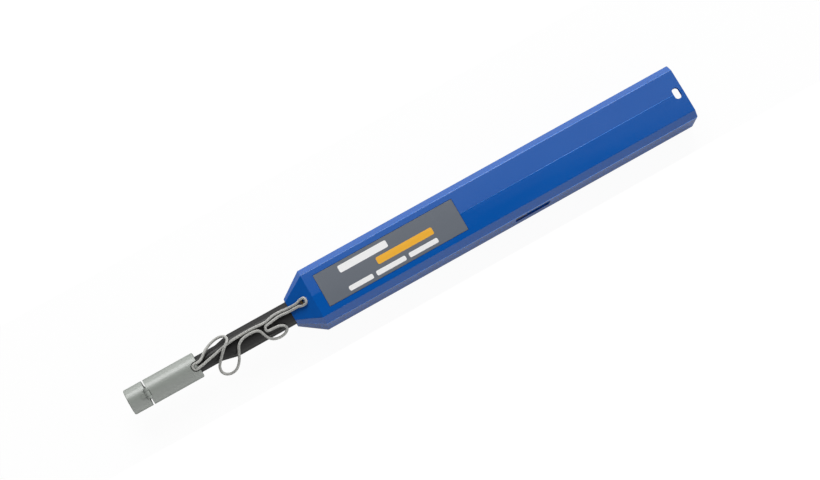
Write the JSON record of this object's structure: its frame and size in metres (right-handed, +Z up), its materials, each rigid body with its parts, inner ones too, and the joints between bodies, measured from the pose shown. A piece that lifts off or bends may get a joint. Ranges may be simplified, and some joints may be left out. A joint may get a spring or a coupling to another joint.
{
  "type": "fibre connector cleaning pen",
  "caption": "Eight-sided pen with a sprung push nozzle, a cap with a hinged lid on a cord loop, and a tape drive inside that turns the cleaning tip.",
  "frame": {"origin": "under the middle of the pen, on the surface that it lies on", "axes": "+X out of the nozzle, +Z up out of the label face, +Y to the side with the slot"},
  "size_m": [0.226, 0.0218, 0.0188],
  "materials": {
    "housing_blue": "satin moulded blue",
    "label_grey": "matt printed grey",
    "black_plastic": "satin moulded black",
    "cap_grey": "satin moulded grey",
    "cord_grey": "soft extruded cord",
    "white_plastic": "moulded acetal",
    "tape": "woven microfibre",
    "felt": "pressed felt",
    "steel": "drawn steel",
    "brass": "turned brass"
  },
  "bodies": {
    "housing": {"housing_left": "housing_blue", "housing_right": "housing_blue", "label_plate": "label_grey", "cam_pin": "steel", "nose_post": "brass", "return_spring": "steel", "tether_rear": "cord_grey"},
    "carriage": {"carriage_frame": "black_plastic", "nozzle_tube": "black_plastic", "tip_tube": "steel", "take_up_axle": "steel", "supply_axle": "steel", "tape_guide_pins": "steel", "supply_brake_washer": "felt", "cleaning_tape": "tape"},
    "head": {"cam_sleeve": "white_plastic", "head_shaft": "white_plastic", "head_tip": "steel"},
    "pinion": {"drive_pinion": "white_plastic"},
    "take_up": {"take_up_reel": "white_plastic", "take_up_tape": "tape", "clutch_spring": "steel"},
    "supply": {"supply_reel": "white_plastic", "supply_tape": "tape"},
    "cap": {"guide_cap": "cap_grey", "lid_hinge_pin": "steel", "tether_front": "cord_grey"},
    "lid": {"cap_lid": "cap_grey"}
  },
  "joints": [
    {"name": "nozzle_slide", "type": "slide", "parent": "housing", "child": "carriage", "axis": [-1, 0, 0], "range_m": [0, 0.009], "stiffness_N_per_m": 250, "springref_m": -0.012, "deforming": ["return_spring", "tether_rear"]},
    {"name": "head_turn", "type": "hinge", "parent": "carriage", "child": "head", "pos_m": [0, 0, 0.0094], "axis": [-1, 0, 0], "range_deg": [0, 180]},
    {"name": "pinion_turn", "type": "hinge", "parent": "carriage", "child": "pinion", "pos_m": [-0.0241, 0, 0.0094], "axis": [0, -1, 0], "range_deg": [0, 122.8]},
    {"name": "take_up_turn", "type": "hinge", "parent": "carriage", "child": "take_up", "pos_m": [-0.0241, 0, 0.0094], "axis": [0, -1, 0], "range_deg": [0, 122.8]},
    {"name": "supply_turn", "type": "hinge", "parent": "carriage", "child": "supply", "pos_m": [-0.0501, 0, 0.0094], "axis": [0, -1, 0], "range_deg": [0, 72.85]},
    {"name": "cap_slide", "type": "slide", "parent": "carriage", "child": "cap", "axis": [1, 0, 0], "range_m": [0, 0.017], "deforming": ["tether_front"]},
    {"name": "lid_hinge", "type": "hinge", "parent": "cap", "child": "lid", "pos_m": [0.10555, 0.00104, 0.01429], "axis": [0, -0.9781, 0.2079], "range_deg": [0, 135]}
  ],
  "couplings": [
    {"joint": "head_turn", "follows": "nozzle_slide", "rad_per_m": 349},
    {"joint": "pinion_turn", "follows": "nozzle_slide", "rad_per_m": 238.1},
    {"joint": "take_up_turn", "follows": "nozzle_slide", "rad_per_m": 238.1},
    {"joint": "supply_turn", "follows": "nozzle_slide", "rad_per_m": 141.24}
  ]
}
